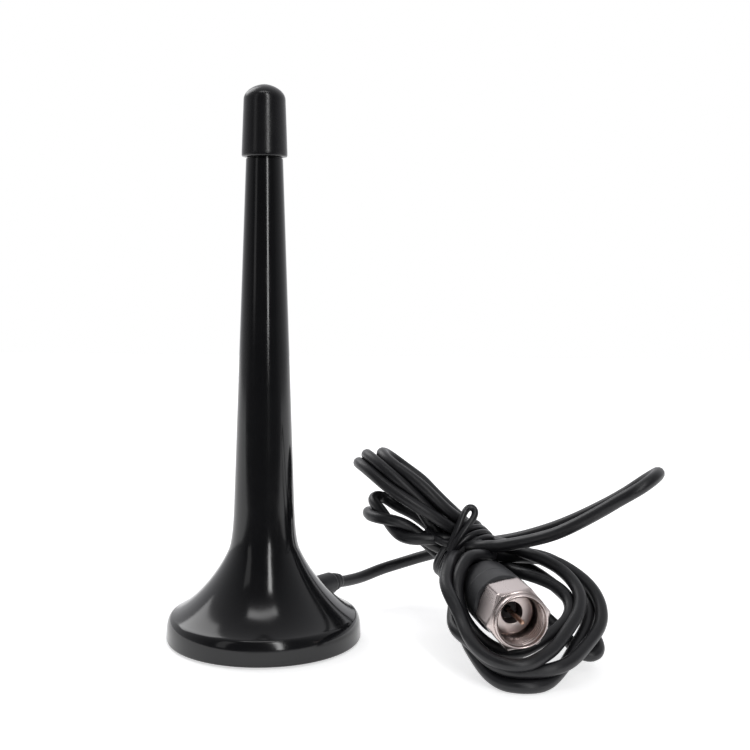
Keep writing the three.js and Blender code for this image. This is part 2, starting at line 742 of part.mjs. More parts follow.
function couplingNut() {
  const corner = NUT_ACROSS_FLATS / Math.sqrt(3);
  const flat = NUT_ACROSS_FLATS / 2;
  const thread = [];
  for (let i = 0; i < THREAD_RINGS; i++) {
    const z = -0.5 - i * THREAD_PITCH;
    thread.push([THREAD_RADIUS - THREAD_DEPTH, z], [THREAD_RADIUS, z - THREAD_PITCH / 2]);
  }
  const outline = [
    [THREAD_RADIUS, 0],
    ...thread,
    [THREAD_RADIUS - THREAD_DEPTH, -0.5 - THREAD_RINGS * THREAD_PITCH],
    [THREAD_RADIUS, POST_FACE + 0.5],
    [THREAD_RADIUS, LIP_FRONT],
    [POST_SHANK_RADIUS + GAP, LIP_FRONT],
    [POST_SHANK_RADIUS + GAP, NUT_REAR],
    [flat - 0.1, NUT_REAR],
    [corner + 0.1, NUT_REAR + 0.7],
    [corner + 0.1, -NUT_COLLAR_LENGTH - 0.9],
    [flat - 0.05, -NUT_COLLAR_LENGTH],
    [NUT_COLLAR_RADIUS, -NUT_COLLAR_LENGTH],
    [NUT_COLLAR_RADIUS, -0.2],
    [NUT_COLLAR_RADIUS - 0.2, 0],
  ];
  const blank = turned(outline, 30);
  const nut = shared(blank, hexagon(NUT_ACROSS_FLATS, NUT_REAR - 1, 1));
  return piece("coupling_nut", onPlug(nut), NICKEL);
}

function thrustWasher() {
  const washer = ring(
    POST_SHANK_RADIUS + GAP,
    THREAD_RADIUS - GAP,
    WASHER_FRONT - WASHER_THICKNESS,
    WASHER_FRONT,
    28,
  );
  return piece("thrust_washer", onPlug(washer), STEEL);
}

function connectorPost() {
  const step = POST_FACE - 6;
  const narrow = CORD_RADIUS + 0.2;
  const outline = [
    [POST_BORE_RADIUS, POST_FACE],
    [POST_FLANGE_RADIUS - 0.2, POST_FACE],
    [POST_FLANGE_RADIUS, POST_FACE - 0.2],
    [POST_FLANGE_RADIUS, FLANGE_REAR],
    [POST_SHANK_RADIUS, FLANGE_REAR],
    [POST_SHANK_RADIUS, POST_REAR],
    [narrow, POST_REAR],
    [narrow, step],
    [POST_BORE_RADIUS, step],
  ];
  return piece("connector_post", onPlug(turned(outline, 32)), NICKEL);
}

function postInsulator() {
  const front = POST_FACE - 3;
  const sleeve = ring(PIN_RADIUS + GAP, POST_BORE_RADIUS - GAP, front - 2.4, front, 20);
  return piece("post_insulator", onPlug(sleeve), FERRITE);
}

function centrePin() {
  const tip = PIN_STAND_OUT;
  const outline = [
    [0, POST_REAR + GAP],
    [PIN_RADIUS, POST_REAR + GAP],
    [PIN_RADIUS, tip - 0.5],
    [PIN_RADIUS * 0.5, tip],
    [0, tip],
  ];
  return piece("centre_pin", onPlug(turned(outline, 16)), COPPER);
}

function crimpFerrule() {
  const inner = POST_SHANK_RADIUS + GAP;
  const front = BOOT_FRONT - 0.8;
  const sleeve = ring(inner, inner + FERRULE_WALL, front - FERRULE_LENGTH, front, 24);
  return piece("crimp_ferrule", onPlug(sleeve), BRASS);
}

function connectorBoot() {
  const cavity = POST_SHANK_RADIUS + 2 * GAP + FERRULE_WALL;
  const barrelRear = BOOT_FRONT - BOOT_BARREL_LENGTH;
  const bore = CORD_RADIUS + GAP;
  const ribs = [];
  for (let i = 0; i < RIB_COUNT; i++) {
    const front = barrelRear - BOOT_NECK_LENGTH - i * RIB_PITCH;
    const radius = RIB_FIRST_RADIUS - RIB_TAPER * i;
    ribs.push([radius, front], [radius - 0.1, front - RIB_WIDTH]);
    ribs.push([radius - RIB_DEPTH, front - RIB_WIDTH - 0.1], [radius - RIB_DEPTH, front - RIB_PITCH]);
  }
  const outline = [
    [cavity, BOOT_FRONT],
    [BOOT_RADIUS - 0.5, BOOT_FRONT],
    [BOOT_RADIUS, BOOT_FRONT - 0.5],
    [BOOT_RADIUS - 0.1, barrelRear + 0.8],
    [BOOT_RADIUS - 0.9, barrelRear],
    [BOOT_NECK_RADIUS, barrelRear],
    [BOOT_NECK_RADIUS, barrelRear - BOOT_NECK_LENGTH],
    ...ribs,
    [BOOT_REAR_RADIUS, BOOT_REAR],
    [bore, BOOT_REAR],
    [bore, POST_REAR - 2],
    [cavity, POST_REAR - 1],
  ];
  return piece("connector_boot", onPlug(turned(outline, 24)), MATT_BLACK);
}

function plugCoax() {
  const cord = ring(0, CORD_RADIUS, BOOT_REAR + GAP, POST_REAR - GAP, 12);
  return piece("plug_coax", onPlug(cord), CORD_BLACK);
}

// ---------------------------------------------------------------- cord, hank and tie

function cordLead() {
  const start = polar(GLAND_END + GAP, GLAND_AZIMUTH, GLAND_HEIGHT);
  const route = [start, ...LEAD_ROUTE.map((p) => new THREE.Vector3(...p))];
  return piece("cord_lead", tube(route, CORD_RADIUS, CORD_SIDES, CORD_STEP), CORD_BLACK);
}

function cordTail() {
  const route = [...TAIL_ROUTE.map((p) => new THREE.Vector3(...p)), plugPoint(BOOT_REAR - GAP)];
  return piece("cord_tail", tube(route, CORD_RADIUS, CORD_SIDES, CORD_STEP / 2), CORD_BLACK);
}

function hankFront() {
  const [across, along] = LOOP_RADII;
  const [inward, outward] = LOOP_BAND;
  const shape = new THREE.Shape();
  shape.absellipse(0, 0, across + outward, along + outward, 0, 2 * Math.PI, false);
  const hole = new THREE.Path();
  hole.absellipse(0, 0, across - inward, along - inward, 0, 2 * Math.PI, true);
  shape.holes.push(hole);
  const [low, high] = LOOP_LAYER;
  const band = new THREE.ExtrudeGeometry(shape, {
    depth: high - low,
    bevelEnabled: false,
    curveSegments: 16,
  });
  band.translate(LOOP_CENTRE[0], LOOP_CENTRE[1], low).rotateX(rad(LOOP_TILT));
  at(band, LOOP_FOOT);
  const aboveFloor = new THREE.BoxGeometry(80, 80, 60).translate(50, 0, 30.1);
  const neck = [tiePoint(-TIE_WIDTH / 2), tiePoint(0), tiePoint(TIE_WIDTH / 2), NECK_END];
  const stem = tube(neck, NECK_RADIUS, 16, 2.5);
  const plugRoom = ring(0, NUT_ACROSS_FLATS / Math.sqrt(3) + 2 * GAP, BOOT_REAR - GAP, 5);
  const loops = joined(shared(band, aboveFloor), stem);
  return piece("hank_front", cut(loops, onPlug(plugRoom)), CORD_BLACK);
}

// Places a geometry whose Z runs along the bundle at the tie, forwards.
function onTie(geometry) {
  const turn = new THREE.Quaternion().setFromUnitVectors(UP, TIE_AXIS);
  return at(geometry.applyQuaternion(turn), TIE_CENTRE);
}

function tiePoint(distance) {
  return TIE_CENTRE.clone().addScaledVector(TIE_AXIS, distance);
}

// Each rear loop is filled in, from the bundle's neck to a round at each side of its tip.
function hankRear() {
  const neck = new THREE.SphereGeometry(NECK_RADIUS, 20, 14);
  const petals = REAR_TIPS.map((tip) =>
    hull(
      at(neck.clone(), TIE_CENTRE),
      at(ball(CORD_RADIUS), new THREE.Vector3(tip[0], tip[1] - REAR_HALF_WIDTH, tip[2])),
      at(ball(CORD_RADIUS), new THREE.Vector3(tip[0], tip[1] + REAR_HALF_WIDTH, tip[2])),
    ),
  );
  const neckRoom = onTie(ring(0, 4 * NECK_RADIUS, -TIE_WIDTH / 2 - GAP, BASE_RADIUS));
  return piece("hank_rear", cut(joined(...petals), neckRoom), CORD_BLACK);
}

function twistTie() {
  const inner = NECK_RADIUS + 2 * GAP;
  const band = ring(inner, inner + TIE_THICKNESS, -TIE_WIDTH / 2, TIE_WIDTH / 2, 24);
  return piece("twist_tie", onTie(band), MATT_BLACK);
}

// ---------------------------------------------------------------- assembly

const antenna = new THREE.Group();
antenna.add(
  mastShell(),
  topCap(),
  baseInsulator(),
  rodSocket(),
  feedTag(),
  radiatorRod(),
  coilFormer(),
  loadingCoil(),
  rodBush(),
  footPad(),
  basePlate(),
  ...baseScrews(),
  ringMagnet(),
  groundDisc(),
  groundLug(),
  lugScrew(),
  cableGland(),
  pullStop(),
  ...coaxInside(),
  groundPigtail(),
  couplingNut(),
  thrustWasher(),
  connectorPost(),
  postInsulator(),
  centrePin(),
  crimpFerrule(),
  connectorBoot(),
  plugCoax(),
  cordLead(),
  cordTail(),
  hankFront(),
  hankRear(),
  twistTie(),
);

export default antenna;
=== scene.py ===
"""Looks of a mini television antenna: glossy mast on a round foot, tied coaxial lead, screw-on plug.

Metres, +Z up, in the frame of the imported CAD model.
"""
import json
import math

import bmesh
import bpy
import numpy as np
from mathutils import Matrix, Vector


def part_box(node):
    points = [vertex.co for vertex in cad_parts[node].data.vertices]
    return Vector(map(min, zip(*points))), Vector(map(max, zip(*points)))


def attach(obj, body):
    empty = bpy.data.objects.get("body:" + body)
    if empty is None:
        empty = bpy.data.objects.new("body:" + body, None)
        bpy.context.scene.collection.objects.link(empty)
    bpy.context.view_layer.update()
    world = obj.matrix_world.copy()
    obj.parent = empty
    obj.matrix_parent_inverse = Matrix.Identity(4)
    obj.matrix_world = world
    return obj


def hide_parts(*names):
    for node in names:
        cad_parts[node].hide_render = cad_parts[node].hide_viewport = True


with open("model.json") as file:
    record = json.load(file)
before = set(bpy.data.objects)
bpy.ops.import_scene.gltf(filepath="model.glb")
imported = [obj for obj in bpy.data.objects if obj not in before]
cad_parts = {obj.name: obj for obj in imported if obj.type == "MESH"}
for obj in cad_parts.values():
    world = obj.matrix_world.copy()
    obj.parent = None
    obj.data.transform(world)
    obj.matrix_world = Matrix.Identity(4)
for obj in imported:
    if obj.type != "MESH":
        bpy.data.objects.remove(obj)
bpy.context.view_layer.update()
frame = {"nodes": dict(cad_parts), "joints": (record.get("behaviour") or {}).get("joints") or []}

BODY = "antenna"
NUT_BODY = "nut"
MM = 0.001

# ---------------------------------------------------------------- places taken from the frame

JOINTS = {joint["name"]: joint for joint in frame["joints"]}
PLUG_FRONT = Vector(JOINTS["nut_spin"]["pos_m"])
PLUG_DIRECTION = Vector(JOINTS["nut_spin"]["axis"]).normalized()


def middle(node):
    low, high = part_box(node)
    return (low + high) / 2


def along_plug(distance):
    """The point on the plug's axis this far in front of the nut's front face."""
    return PLUG_FRONT + PLUG_DIRECTION * distance


GLAND_LENGTH = 7 * MM
gland_middle = middle("cable_gland")
GLAND_DIRECTION = Vector((gland_middle.x, gland_middle.y, 0)).normalized()
GLAND_END = gland_middle + GLAND_DIRECTION * GLAND_LENGTH / 2

# ---------------------------------------------------------------- camera

CAMERA_PLACE = (0.02299, -0.24983, 0.08146)
CAMERA_LENS = 57.99
CAMERA_LOOKS_DOWN = 5.747
CAMERA_ROLL = 0.579


def new_object(name, data):
    """An object made of this data, in the scene."""
    made = bpy.data.objects.new(name, data)
    bpy.context.scene.collection.objects.link(made)
    return made


def make_camera():
    """The photograph's view: a short telephoto, a little above the object."""
    data = bpy.data.cameras.new("camera")
    data.sensor_width = 36
    data.lens = CAMERA_LENS
    camera = new_object("camera", data)
    pitch = math.radians(90 - CAMERA_LOOKS_DOWN)
    roll = math.radians(CAMERA_ROLL)
    place = Matrix.Translation(CAMERA_PLACE)
    camera.matrix_world = place @ Matrix.Rotation(pitch, 4, "X") @ Matrix.Rotation(roll, 4, "Z")
    bpy.context.scene.camera = camera


# ---------------------------------------------------------------- cord

DIAMETER = 2.6 * MM
STEP = 1.3 * MM
TIGHTEST_BEND = 5.2 * MM

# From the gland, behind the hank, round the side loop and back to the tie.
LEAD_ROUTE = [
    (0.0168, 0.0200, 0.0070),
    (0.0204, 0.0236, 0.0070),
    (0.0249, 0.0265, 0.0081),
    (0.0297, 0.0276, 0.0094),
    (0.0339, 0.0270, 0.0109),
    (0.0385, 0.0250, 0.0127),
    (0.0473, 0.0200, 0.0159),
    (0.0556, 0.0140, 0.0190),
    (0.0636, 0.0085, 0.0231),
    (0.0712, 0.0035, 0.0282),
    (0.0759, 0.0010, 0.0317),
    (0.0792, -0.0020, 0.0350),
    (0.0806, -0.0075, 0.0376),
    (0.0789, -0.0130, 0.0378),
    (0.0756, -0.0155, 0.0361),
    (0.0716, -0.0152, 0.0336),
    (0.0680, -0.0135, 0.0308),
    (0.0607, -0.0100, 0.0258),
    (0.0550, -0.0058, 0.0229),
    (0.0490, -0.0027, 0.0209),
    (0.0445, -0.0004, 0.0194),
]

# From the lowest rear loop to the plug.
TAIL_ROUTE = [
    (0.0340, 0.0206, 0.0168),
    (0.0378, 0.0184, 0.0138),
    (0.0416, 0.0146, 0.0123),
    (0.0434, 0.0112, 0.0125),
]

# The tie: its centre, the way the bundle runs through it, and two ways across the bundle.
TIE_CENTRE = Vector((0.04335, 0.0095, 0.01745))
TIE_AXIS = Vector((0.6, -0.65, -0.47)).normalized()
TIE_ASIDE = Vector((0.684, 0.111, 0.719)).normalized()
TIE_AWAY = TIE_ASIDE.cross(TIE_AXIS)
OUTER_SLOTS = 3.94 * MM
INNER_SLOTS = 1.53 * MM

# The plane of the front loops, which rises backwards from the floor.
LOOP_FOOT = Vector((0.0514, -0.0310, 0.0013))
LOOP_TILT = math.radians(27.2)
LOOP_ACROSS = Vector((1, 0, 0))
LOOP_ALONG = Vector((0, math.cos(LOOP_TILT), math.sin(LOOP_TILT)))
LOOP_UP = Vector((0, -math.sin(LOOP_TILT), math.cos(LOOP_TILT)))

# A front loop from the tie's right side, clockwise round to its left side. Across runs from -1 to 1,
# and along from -1 at the bottom through 0 at the widest place to 1 at the top.
LOOP_SHAPE = [
    (0.35, 0.56),
    (0.72, 0.40),
    (0.93, 0.20),
    (1.00, 0.00),
    (0.90, -0.28),
    (0.66, -0.55),
    (0.40, -0.81),
    (0.05, -0.96),
    (-0.30, -1.00),
    (-0.60, -0.87),
    (-0.83, -0.62),
    (-0.95, -0.28),
    (-0.99, 0.08),
    (-0.93, 0.33),
    (-0.84, 0.56),
]


# A petal's points, and how wide its plain formula comes out where it is widest.
PETAL_STEPS = 14
PETAL_WIDEST = 0.77


def tie_slot(angle, radius, distance):
    """A strand's place in the bundle, this far along from the tie's middle."""
    turn = math.radians(angle)
    across = TIE_ASIDE * math.cos(turn) + TIE_AWAY * math.sin(turn)
    return TIE_CENTRE + across * radius + TIE_AXIS * distance


def front_loop(left, right, bottom, widest, top, layer):
    """One round loop in the sloping plane, from its extents in millimetres."""
    points = []
    for across, along in LOOP_SHAPE:
        h = (left + right) / 2 + (right - left) / 2 * across
        s = widest + (widest - bottom if along < 0 else top - widest) * along
        points.append(LOOP_FOOT + (LOOP_ACROSS * h + LOOP_ALONG * s + LOOP_UP * layer) * MM)
    return points


def narrow_loop(start, tip, end, spread, bow=(0, 0, 0)):
    """A petal: out on the side that spread points to, round the tip and back on the other side.

    bow pushes the middle of both sides one way.
    """
    points = []
    for i in range(1, PETAL_STEPS):
        t = i / PETAL_STEPS * 2 * math.pi
        along = math.sin(t / 2) ** 2
        across = math.sin(t) * math.sin(t / 2) / PETAL_WIDEST
        root = start.lerp(end, i / PETAL_STEPS)
        pushed = Vector(bow) * 4 * along * (1 - along)
        points.append(root.lerp(Vector(tip), along) + Vector(spread) * across + pushed)
    return points


# Where the rear loops turn back, and how far each spreads towards the front.
REAR_LOOPS = {
    "wide": ((0.0224, 0.0180, 0.0265), (0.0014, -0.0062, -0.0029)),
    "low": ((0.0195, 0.0180, 0.0348), (0.0000, -0.0070, 0.0013)),
    "mid": ((0.0212, 0.0180, 0.0366), (0.0000, -0.0070, 0.0013)),
    "hidden": ((0.0285, 0.0190, 0.0305), (0.0000, -0.0050, 0.0010)),
    "high": ((0.0247, 0.0180, 0.0371), (-0.0006, -0.0064, 0.0004)),
    "bottom": ((0.0219, 0.0180, 0.0236), (0.0000, -0.0062, 0.0012)),
}

FRONT_LOOPS = {
    "right": dict(left=-10.8, right=17.1, bottom=1.0, widest=18.0, top=46, layer=1.6),
    "outer": dict(left=-10.9, right=15.6, bottom=0.0, widest=23.0, top=47, layer=0.0),
    "inner": dict(left=-8.8, right=11.4, bottom=8.4, widest=19.0, top=34, layer=2.2),
    "upper": dict(left=-12.0, right=12.8, bottom=1.6, widest=20.5, top=42, layer=3.6),
}
FLOOR_TIP = (0.0672, -0.0225, 0.0026)
FLOOR_SPREAD = (0.0018, 0.0030, 0.0012)
FLOOR_BOW = (0.0026, 0.0010, 0.0024)

# The order the cord takes: through the tie, round a rear loop, through again, round a front one.
# Each crossing of the tie has an angle and a radius in the bundle.
CROSSINGS = [
    (258, OUTER_SLOTS),
    (180, INNER_SLOTS),
    (297, OUTER_SLOTS),
    (60, INNER_SLOTS),
    (300, INNER_SLOTS),
    (52, OUTER_SLOTS),
    (181, OUTER_SLOTS),
    (91, OUTER_SLOTS),
    (335, OUTER_SLOTS),
    (14, OUTER_SLOTS),
    (220, OUTER_SLOTS),
]
REAR_ORDER = ["wide", "low", "mid", "hidden", "high", "bottom"]
FRONT_ORDER = ["right", "outer", "floor", "inner", "upper"]
TIE_HALF = 1.4 * MM
SIDE_STEP = 0.6 * MM


def turns_of_hank():
    """The route of every turn, rear and front by turns, with the tie between them."""
    points = []
    for i, rear in enumerate(REAR_ORDER):
        from_left = tie_slot(*CROSSINGS[2 * i], TIE_HALF) - TIE_ASIDE * SIDE_STEP * min(i, 1)
        points += [from_left, tie_slot(*CROSSINGS[2 * i], -TIE_HALF)]
        tip, spread = REAR_LOOPS[rear]
        if i == len(REAR_ORDER) - 1:
            points += narrow_loop(points[-1], tip, Vector(TAIL_ROUTE[0]), spread)
            break
        back = tie_slot(*CROSSINGS[2 * i + 1], -TIE_HALF)
        points += narrow_loop(points[-1], tip, back, spread)
        points += [back, tie_slot(*CROSSINGS[2 * i + 1], TIE_HALF)]
        if FRONT_ORDER[i] == "floor":
            onward = tie_slot(*CROSSINGS[2 * i + 2], TIE_HALF) - TIE_ASIDE * SIDE_STEP
            points += narrow_loop(points[-1], FLOOR_TIP, onward, FLOOR_SPREAD, FLOOR_BOW)
        else:
            points += front_loop(**FRONT_LOOPS[FRONT_ORDER[i]])
    return points


# Short steps between two given points of a route, before it is measured and spaced evenly.
CUTS = 16


def smooth_line(points, step):
    """Points this far apart on a smooth curve through the given ones.

    Also returns how far along the curve each given point lies, from 0 to 1.
    """
    p = np.array([tuple(v) for v in points])
    p = np.vstack([2 * p[0] - p[1], p, 2 * p[-1] - p[-2]])
    knots = np.concatenate([[0], np.cumsum(np.linalg.norm(np.diff(p, axis=0), axis=1) ** 0.5)])
    dense = []
    for i in range(1, len(p) - 2):
        t0, t1, t2, t3 = knots[i - 1:i + 3]
        for t in np.linspace(t1, t2, CUTS, endpoint=False):
            a1 = (t1 - t) / (t1 - t0) * p[i - 1] + (t - t0) / (t1 - t0) * p[i]
            a2 = (t2 - t) / (t2 - t1) * p[i] + (t - t1) / (t2 - t1) * p[i + 1]
            a3 = (t3 - t) / (t3 - t2) * p[i + 1] + (t - t2) / (t3 - t2) * p[i + 2]
            b1 = (t2 - t) / (t2 - t0) * a1 + (t - t0) / (t2 - t0) * a2
            b2 = (t3 - t) / (t3 - t1) * a2 + (t - t1) / (t3 - t1) * a3
            dense.append((t2 - t) / (t2 - t1) * b1 + (t - t1) / (t2 - t1) * b2)
    dense.append(p[-2])
    dense = np.array(dense)
    along = np.concatenate([[0], np.cumsum(np.linalg.norm(np.diff(dense, axis=0), axis=1))])
    count = round(along[-1] / step) + 1
    where = np.linspace(0, along[-1], count)
    line = np.stack([np.interp(where, along, dense[:, k]) for k in range(3)], axis=1)
    shares = along[::CUTS] / along[-1]
    return line, shares


# The plug's outline in millimetres: distances behind its front, and the outer radius at each.
PLUG_PLACES = [-2, 0, 11, 26, 27, 40]
PLUG_RADII = [6.9, 6.9, 6.6, 6.3, 5.2, 2.2]

# Settling: its rounds, the stretch of one strand that doesn't press on itself, the last stretch, which
# may run inside the plug, and how far from the tie's middle a strand is still drawn in.
ROUNDS = 160
SAME_STRETCH = round(2.2 * DIAMETER / STEP)
INSIDE_PLUG = round(16 * MM / STEP)
TIE_CATCH = 8 * MM
TIE_FUNNEL = 0.6
NEVER_ZERO = 1e-9

# How firmly a point keeps its place, from 0 to 1. The tie draws in only what is held less than LOOSE.
HOLD_HANK = 0.02
HOLD_LEAD = 0.6
HOLD_TAIL = 0.5
HOLD_ENDS = 1.0
LOOSE = 0.3

# The cord's ends: how deep it starts in the gland, its places in the boot, and the points that never move.
DEPTH_IN_GLAND = 5 * MM
PLACES_IN_BOOT = (40.3, 36, 30)
FIXED_AT_GLAND = 3
FIXED_AT_PLUG = 8


def plug_room(distance):
    """How near the plug's axis the cord's own centre may come, at distances behind the plug's front."""
    return np.interp(distance / MM, PLUG_PLACES, PLUG_RADII) * MM + DIAMETER / 2


def even_out(line, hold):
    """Takes the short waves out of the line."""
    wave = line[:-4] - 4 * line[1:-3] + 6 * line[2:-2] - 4 * line[3:-1] + line[4:]
    line[2:-2] -= wave / 16 * (1 - hold[2:-2, None] * 0.5)


def press_apart(line, apart):
    """Moves strands that run into each other apart."""
    gap = line[:, None, :] - line[None, :, :]
    length = np.linalg.norm(gap, axis=2) + NEVER_ZERO
    press = np.where(apart & (length < DIAMETER), (DIAMETER - length) / length * 0.5, 0)
    touching = np.maximum((press > 0).sum(axis=1), 1)
    line += (gap * press[:, :, None]).sum(axis=1) / touching[:, None] ** 0.7


def clear_plug(line, outside):
    """Moves the cord out of the plug, except for the stretch that belongs in it."""
    front = np.array(PLUG_FRONT)
    axis = np.array(PLUG_DIRECTION)
    behind = -((line - front) @ axis)
    off = line - front + behind[:, None] * axis
    reach = np.linalg.norm(off, axis=1) + NEVER_ZERO
    room = plug_room(behind)
    beside = (behind > PLUG_PLACES[0] * MM) & (behind < PLUG_PLACES[-1] * MM)
    inside = outside & (reach < room) & beside
    line[inside] += off[inside] * ((room - reach) / reach)[inside, None]


def draw_into_tie(line, hold):
    """Draws the strands that pass near the tie in towards its middle."""
    centre = np.array(TIE_CENTRE)
    through = np.array(TIE_AXIS)
    forward = (line - centre) @ through
    across = line - centre - forward[:, None] * through
    reach = np.linalg.norm(across, axis=1) + NEVER_ZERO
    limit = OUTER_SLOTS + np.maximum(np.abs(forward) - TIE_HALF, 0) * TIE_FUNNEL
    near = (np.abs(forward) < 2.5 * TIE_HALF) & (reach < TIE_CATCH)
    squeezed = near & (reach > limit) & (hold < LOOSE)
    line[squeezed] -= across[squeezed] * ((reach - limit) / reach)[squeezed, None]


def ease_bends(line, hold):
    """Evens out the spacing, and opens the bends that are tighter than the cord takes."""
    chord = line[2:] - line[:-2]
    chord /= np.linalg.norm(chord, axis=1)[:, None] + 1e-12
    sag = (line[2:] + line[:-2]) / 2 - line[1:-1]
    shift = (sag * chord).sum(axis=1)[:, None] * chord
    free = 1 - hold[1:-1, None]
    depth = np.linalg.norm(sag - shift, axis=1)[:, None] + 1e-12
    allowed = STEP ** 2 / (2 * TIGHTEST_BEND)
    opened = (sag - shift) * np.maximum(1 - allowed / depth, 0) * 0.6
    eased = line.copy()
    eased[1:-1] += (shift * 0.5 + opened) * free
    return eased


def settle(line, hold):
    """Lets the strands push each other, the floor and the plug away, while each stays near its place.

    The bends it leaves can still be tighter than TIGHTEST_BEND, where strands press past each other.
    """
    rest = line.copy()
    index = np.arange(len(line))
    apart = np.abs(index[:, None] - index[None, :]) > SAME_STRETCH
    outside = index < len(line) - INSIDE_PLUG
    for _ in range(ROUNDS):
        even_out(line, hold)
        press_apart(line, apart)
        clear_plug(line, outside)
        draw_into_tie(line, hold)
        line += (rest - line) * hold[:, None] * 0.5
        line = ease_bends(line, hold)
        line[:, 2] = np.maximum(line[:, 2], DIAMETER / 2)
    return line


def cord_line():
    """The whole cord's centre line, from inside the gland to inside the boot."""
    inside_gland = [GLAND_END - GLAND_DIRECTION * DEPTH_IN_GLAND, GLAND_END]
    lead = inside_gland + [Vector(p) for p in LEAD_ROUTE]
    inside_boot = [along_plug(-place * MM) for place in PLACES_IN_BOOT]
    tail = [Vector(p) for p in TAIL_ROUTE[1:]] + inside_boot
    points = lead + turns_of_hank() + [Vector(TAIL_ROUTE[0])] + tail
    line, shares = smooth_line(points, STEP)
    last = len(line) - 1
    lead_end = round(shares[len(lead) - 1] * last)
    tail_start = round(shares[len(points) - len(tail) - 1] * last)
    hold = np.full(len(line), HOLD_HANK)
    hold[:lead_end] = HOLD_LEAD
    hold[tail_start:] = HOLD_TAIL
    hold[:FIXED_AT_GLAND] = HOLD_ENDS
    hold[-FIXED_AT_PLUG:] = HOLD_ENDS
    return settle(line, hold)


def round_curve(name, points, radius, look, steps, roundness, cyclic=False):
    """A round cord or wire along a smooth line, with this many steps between two of its points."""
    data = bpy.data.curves.new(name, "CURVE")
    data.dimensions = "3D"
    spline = data.splines.new("NURBS")
    spline.points.add(len(points) - 1)
    for point, place in zip(spline.points, points):
        point.co = (*place, 1)
    spline.order_u = 4
    spline.use_endpoint_u = not cyclic
    spline.use_cyclic_u = cyclic
    spline.resolution_u = steps
    data.bevel_depth = radius
    data.bevel_resolution = roundness
    data.use_fill_caps = True
    data.materials.append(look)
    piece = new_object(name, data)
    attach(piece, BODY)
    return piece


def make_cord(looks):
    line = cord_line()
    cord = round_curve("lead", line, DIAMETER / 2, looks["cord_black"], 2, 4)
    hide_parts("cord_lead", "cord_tail", "hank_front", "hank_rear")
    return cord, line


# ---------------------------------------------------------------- materials


def node_at(tree, kind, **values):
    """A new shader node with these input values set."""
    node = tree.nodes.new(kind)
    for name, value in values.items():
        node.inputs[name.replace("_", " ")].default_value = value
    return node


def noise(tree, scale, detail=3, stretch=None):
    """Noise in the object's own space, with this many bumps to a metre."""
    place = tree.nodes.new("ShaderNodeTexCoord").outputs["Object"]
    if stretch:
        mapping = node_at(tree, "ShaderNodeMapping", Scale=stretch)
        tree.links.new(place, mapping.inputs["Vector"])
        place = mapping.outputs["Vector"]
    node = node_at(tree, "ShaderNodeTexNoise", Scale=scale, Detail=detail)
    tree.links.new(place, node.inputs["Vector"])
    return node.outputs["Fac"]


def spread_of(tree, source, low, high, start=0.3, end=0.7):
    """The source's middle range spread between two values."""
    node = node_at(tree, "ShaderNodeMapRange")
    for slot, value in zip(("From Min", "From Max", "To Min", "To Max"), (start, end, low, high)):
        node.inputs[slot].default_value = value
    tree.links.new(source, node.inputs["Value"])
    return node.outputs["Result"]


def material(name, colour, worn, roughness, grain=(3000, 0.03), mottle=70, metallic=0.0, edge=0.0,
             brushed=None):
    """A surface with cloudy colour, uneven gloss, a fine grain and, on request, brighter worn edges.

    grain is the number of bumps to a metre and their depth in millimetres. brushed stretches the gloss
    and the grain by these amounts in x, y and z.
    """
    made = bpy.data.materials.new(name)
    made.use_nodes = True
    tree = made.node_tree
    shader = tree.nodes["Principled BSDF"]
    shader.inputs["Metallic"].default_value = metallic
    mix = node_at(tree, "ShaderNodeMix")
    mix.data_type = "RGBA"
    mix.inputs["A"].default_value = (*colour, 1)
    mix.inputs["B"].default_value = (*worn, 1)
    share = spread_of(tree, noise(tree, mottle, 5), 0.0, 0.6)
    if edge:
        ridge = tree.nodes.new("ShaderNodeNewGeometry").outputs["Pointiness"]
        rubbed = spread_of(tree, ridge, 0.0, edge, 0.52, 0.6)
        total = tree.nodes.new("ShaderNodeMath")
        total.use_clamp = True
        tree.links.new(share, total.inputs[0])
        tree.links.new(rubbed, total.inputs[1])
        share = total.outputs["Value"]
    tree.links.new(share, mix.inputs["Factor"])
    tree.links.new(mix.outputs["Result"], shader.inputs["Base Color"])
    smudge = noise(tree, mottle * 2.3, 4, brushed)
    uneven = spread_of(tree, smudge, roughness[0], roughness[1])
    tree.links.new(uneven, shader.inputs["Roughness"])
    bump = node_at(tree, "ShaderNodeBump", Strength=1.0, Distance=grain[1] * MM)
    tree.links.new(noise(tree, grain[0], 2, brushed), bump.inputs["Height"])
    tree.links.new(bump.outputs["Normal"], shader.inputs["Normal"])
    return made


